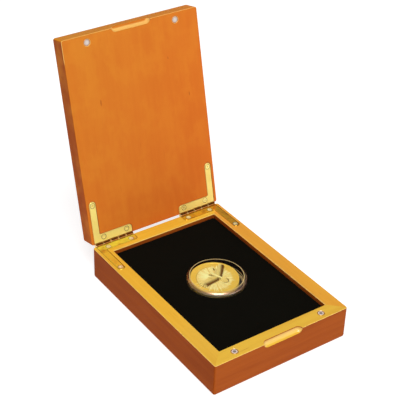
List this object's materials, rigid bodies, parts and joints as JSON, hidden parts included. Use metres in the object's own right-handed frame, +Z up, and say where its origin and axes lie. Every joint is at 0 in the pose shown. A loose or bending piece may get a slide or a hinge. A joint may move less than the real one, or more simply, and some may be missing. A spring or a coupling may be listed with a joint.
{
  "type": "hinged presentation case",
  "caption": "Hinged wooden presentation case with a flock-lined insert holding a coin in a clear round capsule, lid standing open.",
  "frame": {"origin": "middle of the base's underside", "axes": "+X to the right, +Y towards the hinges, +Z up; the front edge with the finger notch faces -Y"},
  "size_m": [0.087, 0.1578, 0.1376],
  "materials": {
    "case_wood": "satin",
    "lid_wood": "satin",
    "panel_wood": "satin",
    "card": "matte",
    "foam": "matte",
    "velvet": "matte",
    "magnet": "polished",
    "brass": "polished",
    "screw": "polished",
    "acrylic": "polished",
    "gold": "polished"
  },
  "bodies": {
    "base": {"base_front_rail": "case_wood", "base_left_rail": "case_wood", "base_magnet_left": "magnet", "base_magnet_right": "magnet", "base_rear_rail": "case_wood", "base_right_rail": "case_wood", "bottom_panel": "panel_wood", "insert_card": "card", "insert_foam_lower": "foam", "insert_foam_upper": "foam", "insert_velvet": "velvet", "left_hinge_base_leaf": "brass", "left_hinge_base_screw_1": "screw", "left_hinge_base_screw_2": "screw", "left_hinge_base_screw_3": "screw", "left_hinge_pin": "brass", "right_hinge_base_leaf": "brass", "right_hinge_base_screw_1": "screw", "right_hinge_base_screw_2": "screw", "right_hinge_base_screw_3": "screw", "right_hinge_pin": "brass"},
    "lid": {"left_hinge_lid_leaf": "brass", "left_hinge_lid_screw_1": "screw", "left_hinge_lid_screw_2": "screw", "left_hinge_lid_screw_3": "screw", "lid_magnet_left": "magnet", "lid_magnet_right": "magnet", "lid_panel": "lid_wood", "right_hinge_lid_leaf": "brass", "right_hinge_lid_screw_1": "screw", "right_hinge_lid_screw_2": "screw", "right_hinge_lid_screw_3": "screw"},
    "capsule": {"capsule_base": "acrylic", "capsule_lid": "acrylic", "coin": "gold"}
  },
  "joints": [
    {"name": "lid_hinge", "type": "hinge", "parent": "base", "child": "lid", "pos_m": [0, 0.0607, 0.02005], "axis": [1, 0, 0], "range_deg": [0, 103]},
    {"name": "capsule_turn", "type": "hinge", "parent": "base", "child": "capsule", "pos_m": [0.0012, 0.00125, 0.0133], "axis": [0, 0, 1], "continuous": true}
  ]
}
